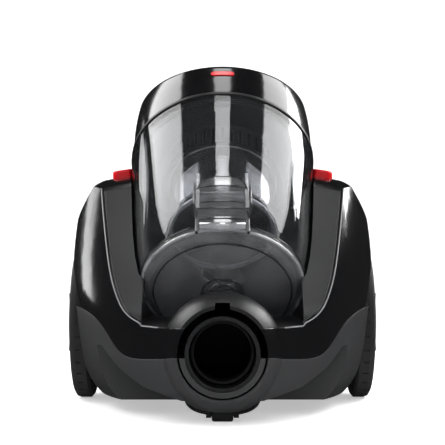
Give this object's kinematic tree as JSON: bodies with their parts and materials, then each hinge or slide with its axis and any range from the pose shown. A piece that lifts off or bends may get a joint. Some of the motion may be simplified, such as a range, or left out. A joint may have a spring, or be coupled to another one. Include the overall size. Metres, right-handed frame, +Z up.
{
  "type": "canister vacuum cleaner",
  "caption": "Black bagless canister vacuum cleaner with a clear slanted dust bin, red foot pedals, large rear wheels and a front hose socket",
  "frame": {"origin": "on the floor under the middle of the machine's box", "axes": "+Z up, -Y towards the hose socket at the front, +X to the machine's left as seen by someone facing its front"},
  "size_m": [0.3028, 0.3912, 0.3287],
  "materials": {
    "gloss_black": "gloss",
    "satin_grey": "satin",
    "satin_dark": "satin",
    "dark_plastic": "matte",
    "clear_smoke": "gloss",
    "cyclone_smoke": "gloss",
    "pedal_red": "gloss",
    "tyre_rubber": "matte",
    "seal_rubber": "matte",
    "steel": "satin",
    "core_iron": "satin",
    "aluminium_bare": "satin",
    "filter_paper": "matte",
    "filter_foam": "matte",
    "board_green": "satin"
  },
  "bodies": {
    "base": {"upper_shell": "gloss_black", "lower_chassis": "satin_grey", "bin_cradle": "satin_dark", "inlet_socket": "satin_dark", "inlet_duct": "dark_plastic", "bin_port_seal": "seal_rubber", "motor_housing": "steel", "motor_stator": "core_iron", "motor_mounts": "seal_rubber", "motor_saddles": "dark_plastic", "exhaust_filter": "filter_paper", "reel_frame": "dark_plastic", "brake_bracket": "dark_plastic", "power_switch": "dark_plastic", "circuit_board": "board_green", "cord_outlet_bush": "seal_rubber", "chassis_screws": "steel", "left_pedal_shelf": "dark_plastic", "right_pedal_shelf": "dark_plastic", "reel_spring_case": "steel", "power_pedal_spring": "steel", "rewind_pedal_spring": "steel", "right_axle": "steel", "left_axle": "steel"},
    "exhaust_cover": {"exhaust_grille": "satin_dark"},
    "motor_rotor": {"motor_armature": "core_iron", "motor_fan": "aluminium_bare"},
    "cord_reel": {"cord_drum": "dark_plastic"},
    "brake": {"brake_lever": "dark_plastic"},
    "power_button": {"power_pedal": "pedal_red"},
    "rewind_button": {"rewind_pedal": "pedal_red"},
    "left_wheel": {"left_tyre": "tyre_rubber", "left_wheel_disc": "satin_dark", "left_hub_cap": "satin_grey"},
    "right_wheel": {"right_tyre": "tyre_rubber", "right_wheel_disc": "satin_dark", "right_hub_cap": "satin_grey"},
    "caster": {"caster_fork": "satin_dark", "caster_swivel_pin": "steel", "caster_axle": "steel"},
    "roller": {"caster_roller": "satin_dark"},
    "dust_bin": {"bin_barrel": "clear_smoke", "bin_rim_ring": "satin_dark", "fine_dust_cup": "cyclone_smoke", "cyclone_shroud": "satin_dark", "cyclone_cones": "cyclone_smoke", "cyclone_plate": "satin_dark", "filter_tray": "dark_plastic", "foam_filter": "filter_foam", "door_hinge_pin": "steel", "latch_pin": "steel"},
    "door": {"bin_door": "clear_smoke", "door_seal": "seal_rubber"},
    "latch": {"door_latch": "clear_smoke"},
    "lid": {"lid_shell": "gloss_black", "carry_handle": "gloss_black", "badge": "pedal_red"},
    "release": {"release_button": "pedal_red"}
  },
  "joints": [
    {"name": "left_wheel_spin", "type": "hinge", "parent": "base", "child": "left_wheel", "pos_m": [-0.137, 0.067, 0.077], "axis": [1, 0, 0], "continuous": true},
    {"name": "right_wheel_spin", "type": "hinge", "parent": "base", "child": "right_wheel", "pos_m": [0.137, 0.067, 0.077], "axis": [1, 0, 0], "continuous": true},
    {"name": "caster_swivel", "type": "hinge", "parent": "base", "child": "caster", "pos_m": [0, -0.146, 0.02], "axis": [0, 0, 1], "continuous": true},
    {"name": "caster_roll", "type": "hinge", "parent": "caster", "child": "roller", "pos_m": [0, -0.161, 0.011], "axis": [1, 0, 0], "continuous": true},
    {"name": "motor_spin", "type": "hinge", "parent": "base", "child": "motor_rotor", "pos_m": [-0.044, 0.09, 0.078], "axis": [0, 1, 0], "continuous": true},
    {"name": "reel_turn", "type": "hinge", "parent": "base", "child": "cord_reel", "pos_m": [0.052, 0.102, 0.09], "axis": [1, 0, 0], "continuous": true},
    {"name": "power_press", "type": "slide", "parent": "base", "child": "power_button", "axis": [0, 0, -1], "range_m": [0, 0.004], "stiffness_N_per_m": 400, "deforming": ["power_pedal_spring"]},
    {"name": "rewind_press", "type": "slide", "parent": "base", "child": "rewind_button", "axis": [0, 0, -1], "range_m": [0, 0.004], "stiffness_N_per_m": 400, "deforming": ["rewind_pedal_spring"]},
    {"name": "brake_tilt", "type": "hinge", "parent": "base", "child": "brake", "pos_m": [0.092, 0.076, 0.1806], "axis": [1, 0, 0], "range_deg": [0, 12.75]},
    {"name": "bin_lift", "type": "slide", "parent": "base", "child": "dust_bin", "axis": [0, 0, 1], "range_m": [0, 0.2]},
    {"name": "door_swing", "type": "hinge", "parent": "dust_bin", "child": "door", "pos_m": [0, -0.04549, 0.05944], "axis": [1, 0, 0], "range_deg": [0, 90.2]},
    {"name": "latch_press", "type": "hinge", "parent": "dust_bin", "child": "latch", "pos_m": [0, -0.14524, 0.19074], "axis": [-1, 0, 0], "range_deg": [0, 10], "stiffness_Nm_per_rad": 0.05},
    {"name": "lid_lift", "type": "slide", "parent": "dust_bin", "child": "lid", "axis": [0, 0.682, 0.7314], "range_m": [0, 0.05]},
    {"name": "release_press", "type": "slide", "parent": "lid", "child": "release", "axis": [0, -0.3338, -0.9426], "range_m": [0, 0.003]},
    {"name": "cover_release", "type": "slide", "parent": "base", "child": "exhaust_cover", "axis": [0, 1, 0], "range_m": [0, 0.03]}
  ],
  "couplings": [
    {"joint": "brake_tilt", "follows": "rewind_press", "rad_per_m": 55.556},
    {"joint": "door_swing", "follows": "bin_lift", "rad_per_m": 7.854}
  ]
}
